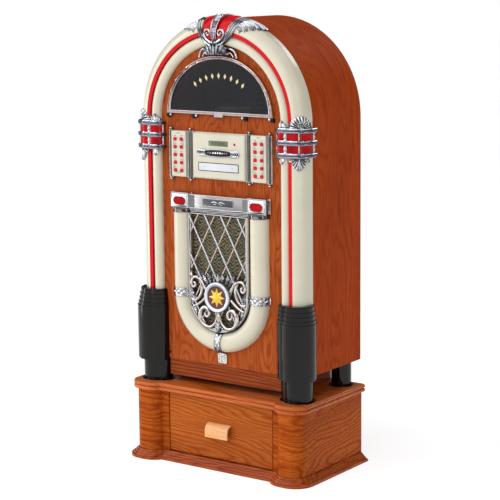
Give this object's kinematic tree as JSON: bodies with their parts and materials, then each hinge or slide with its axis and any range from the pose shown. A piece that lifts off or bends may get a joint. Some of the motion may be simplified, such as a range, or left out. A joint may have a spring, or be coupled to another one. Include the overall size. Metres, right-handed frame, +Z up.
{
  "type": "jukebox",
  "caption": "Floor-standing retro jukebox with arched cream and red mouldings, chrome ornaments, domed turntable window, disc tray, lattice speaker grille and a drawer stand.",
  "frame": {"origin": "on the floor, at the middle of the width and of the depth", "axes": "+Z up, the front faces -Y, +X to the right seen from the front"},
  "size_m": [0.606, 0.346, 1.241],
  "materials": {
    "stand_wood": "gloss lacquer, horizontal oak grain",
    "drawer_front_wood": "gloss lacquer, horizontal oak grain",
    "drawer_wood": "plain sanded",
    "slide_steel": "zinc plated",
    "maple": "satin lacquer",
    "black_plastic": "gloss",
    "cabinet_wood": "gloss lacquer, upright grain",
    "panel_wood": "gloss lacquer, cathedral grain",
    "inner_wood": "raw",
    "back_board": "matt stain",
    "black_board": "satin black",
    "black_metal": "satin black",
    "cream_plastic": "gloss",
    "red_plastic": "translucent gloss",
    "chrome": "bright plated",
    "dark_glass": "smoked",
    "platter_metal": "turned",
    "arm_metal": "polished",
    "display_plastic": "smoked gloss",
    "silver_plastic": "silver paint",
    "speaker_cloth": "woven"
  },
  "bodies": {
    "cabinet": {"amplifier_unit": "black_metal", "arch_clamps": "chrome", "arch_red_strip": "red_plastic", "arch_tubes": "cream_plastic", "cabinet_frame": "inner_wood", "cabinet_legs": "black_plastic", "cabinet_plinth": "panel_wood", "cabinet_shell": "cabinet_wood", "chrome_trims": "chrome", "control_panel": "cream_plastic", "crest": "chrome", "disc_drive": "black_metal", "display_lenses": "display_plastic", "drawer_runners": "slide_steel", "front_panel": "panel_wood", "leg_sockets": "black_plastic", "rear_panel": "back_board", "red_lenses": "red_plastic", "speaker_board": "speaker_cloth", "speaker_drivers": "black_metal", "speaker_grille": "chrome", "speaker_header": "chrome", "speaker_medallion": "chrome", "speaker_tube": "cream_plastic", "stand_base_moulding": "stand_wood", "stand_inner_boards": "stand_wood", "stand_sides": "stand_wood", "stand_top_board": "stand_wood", "turntable_deck": "black_board", "window_hinges": "black_metal"},
    "drawer": {"drawer_front": "drawer_front_wood", "drawer_box": "drawer_wood", "drawer_slides": "slide_steel", "drawer_handle": "maple"},
    "window_door": {"window_frame": "chrome", "window_glass": "dark_glass"},
    "platter": {"platter": "platter_metal"},
    "tonearm_turret": {"tonearm_turret": "arm_metal"},
    "tonearm": {"tonearm": "arm_metal"},
    "disc_tray": {"disc_tray": "silver_plastic"},
    "button_left_1": {"button_left_1": "red_plastic"},
    "button_left_10": {"button_left_10": "red_plastic"},
    "button_left_2": {"button_left_2": "red_plastic"},
    "button_left_3": {"button_left_3": "red_plastic"},
    "button_left_4": {"button_left_4": "red_plastic"},
    "button_left_5": {"button_left_5": "red_plastic"},
    "button_left_6": {"button_left_6": "red_plastic"},
    "button_left_7": {"button_left_7": "red_plastic"},
    "button_left_8": {"button_left_8": "red_plastic"},
    "button_left_9": {"button_left_9": "red_plastic"},
    "button_right_1": {"button_right_1": "red_plastic"},
    "button_right_10": {"button_right_10": "red_plastic"},
    "button_right_2": {"button_right_2": "red_plastic"},
    "button_right_3": {"button_right_3": "red_plastic"},
    "button_right_4": {"button_right_4": "red_plastic"},
    "button_right_5": {"button_right_5": "red_plastic"},
    "button_right_6": {"button_right_6": "red_plastic"},
    "button_right_7": {"button_right_7": "red_plastic"},
    "button_right_8": {"button_right_8": "red_plastic"},
    "button_right_9": {"button_right_9": "red_plastic"}
  },
  "joints": [
    {"name": "drawer_slide", "type": "slide", "parent": "cabinet", "child": "drawer", "axis": [0, -1, 0], "range_m": [0, 0.19]},
    {"name": "window_hinge", "type": "hinge", "parent": "cabinet", "child": "window_door", "pos_m": [0, -0.105, 0.965], "axis": [1, 0, 0], "range_deg": [0, 88]},
    {"name": "platter_spin", "type": "hinge", "parent": "cabinet", "child": "platter", "pos_m": [-0.01, 0.039, 0.976], "axis": [0, 0, 1], "continuous": true},
    {"name": "tonearm_swing", "type": "hinge", "parent": "cabinet", "child": "tonearm_turret", "pos_m": [0.15, 0.104, 0.98], "axis": [0, 0, -1], "range_deg": [0, 48]},
    {"name": "tonearm_lift", "type": "hinge", "parent": "tonearm_turret", "child": "tonearm", "pos_m": [0.15, 0.104, 1.006], "axis": [-1, 0, 0], "range_deg": [0, 10]},
    {"name": "disc_tray_slide", "type": "slide", "parent": "cabinet", "child": "disc_tray", "axis": [0, -1, 0], "range_m": [0, 0.115]},
    {"name": "button_left_1_press", "type": "slide", "parent": "cabinet", "child": "button_left_1", "axis": [0, 1, 0], "range_m": [0, 0.002], "stiffness_N_per_m": 150, "springref_m": -0.001},
    {"name": "button_left_10_press", "type": "slide", "parent": "cabinet", "child": "button_left_10", "axis": [0, 1, 0], "range_m": [0, 0.002], "stiffness_N_per_m": 150, "springref_m": -0.001},
    {"name": "button_left_2_press", "type": "slide", "parent": "cabinet", "child": "button_left_2", "axis": [0, 1, 0], "range_m": [0, 0.002], "stiffness_N_per_m": 150, "springref_m": -0.001},
    {"name": "button_left_3_press", "type": "slide", "parent": "cabinet", "child": "button_left_3", "axis": [0, 1, 0], "range_m": [0, 0.002], "stiffness_N_per_m": 150, "springref_m": -0.001},
    {"name": "button_left_4_press", "type": "slide", "parent": "cabinet", "child": "button_left_4", "axis": [0, 1, 0], "range_m": [0, 0.002], "stiffness_N_per_m": 150, "springref_m": -0.001},
    {"name": "button_left_5_press", "type": "slide", "parent": "cabinet", "child": "button_left_5", "axis": [0, 1, 0], "range_m": [0, 0.002], "stiffness_N_per_m": 150, "springref_m": -0.001},
    {"name": "button_left_6_press", "type": "slide", "parent": "cabinet", "child": "button_left_6", "axis": [0, 1, 0], "range_m": [0, 0.002], "stiffness_N_per_m": 150, "springref_m": -0.001},
    {"name": "button_left_7_press", "type": "slide", "parent": "cabinet", "child": "button_left_7", "axis": [0, 1, 0], "range_m": [0, 0.002], "stiffness_N_per_m": 150, "springref_m": -0.001},
    {"name": "button_left_8_press", "type": "slide", "parent": "cabinet", "child": "button_left_8", "axis": [0, 1, 0], "range_m": [0, 0.002], "stiffness_N_per_m": 150, "springref_m": -0.001},
    {"name": "button_left_9_press", "type": "slide", "parent": "cabinet", "child": "button_left_9", "axis": [0, 1, 0], "range_m": [0, 0.002], "stiffness_N_per_m": 150, "springref_m": -0.001},
    {"name": "button_right_1_press", "type": "slide", "parent": "cabinet", "child": "button_right_1", "axis": [0, 1, 0], "range_m": [0, 0.002], "stiffness_N_per_m": 150, "springref_m": -0.001},
    {"name": "button_right_10_press", "type": "slide", "parent": "cabinet", "child": "button_right_10", "axis": [0, 1, 0], "range_m": [0, 0.002], "stiffness_N_per_m": 150, "springref_m": -0.001},
    {"name": "button_right_2_press", "type": "slide", "parent": "cabinet", "child": "button_right_2", "axis": [0, 1, 0], "range_m": [0, 0.002], "stiffness_N_per_m": 150, "springref_m": -0.001},
    {"name": "button_right_3_press", "type": "slide", "parent": "cabinet", "child": "button_right_3", "axis": [0, 1, 0], "range_m": [0, 0.002], "stiffness_N_per_m": 150, "springref_m": -0.001},
    {"name": "button_right_4_press", "type": "slide", "parent": "cabinet", "child": "button_right_4", "axis": [0, 1, 0], "range_m": [0, 0.002], "stiffness_N_per_m": 150, "springref_m": -0.001},
    {"name": "button_right_5_press", "type": "slide", "parent": "cabinet", "child": "button_right_5", "axis": [0, 1, 0], "range_m": [0, 0.002], "stiffness_N_per_m": 150, "springref_m": -0.001},
    {"name": "button_right_6_press", "type": "slide", "parent": "cabinet", "child": "button_right_6", "axis": [0, 1, 0], "range_m": [0, 0.002], "stiffness_N_per_m": 150, "springref_m": -0.001},
    {"name": "button_right_7_press", "type": "slide", "parent": "cabinet", "child": "button_right_7", "axis": [0, 1, 0], "range_m": [0, 0.002], "stiffness_N_per_m": 150, "springref_m": -0.001},
    {"name": "button_right_8_press", "type": "slide", "parent": "cabinet", "child": "button_right_8", "axis": [0, 1, 0], "range_m": [0, 0.002], "stiffness_N_per_m": 150, "springref_m": -0.001},
    {"name": "button_right_9_press", "type": "slide", "parent": "cabinet", "child": "button_right_9", "axis": [0, 1, 0], "range_m": [0, 0.002], "stiffness_N_per_m": 150, "springref_m": -0.001}
  ]
}
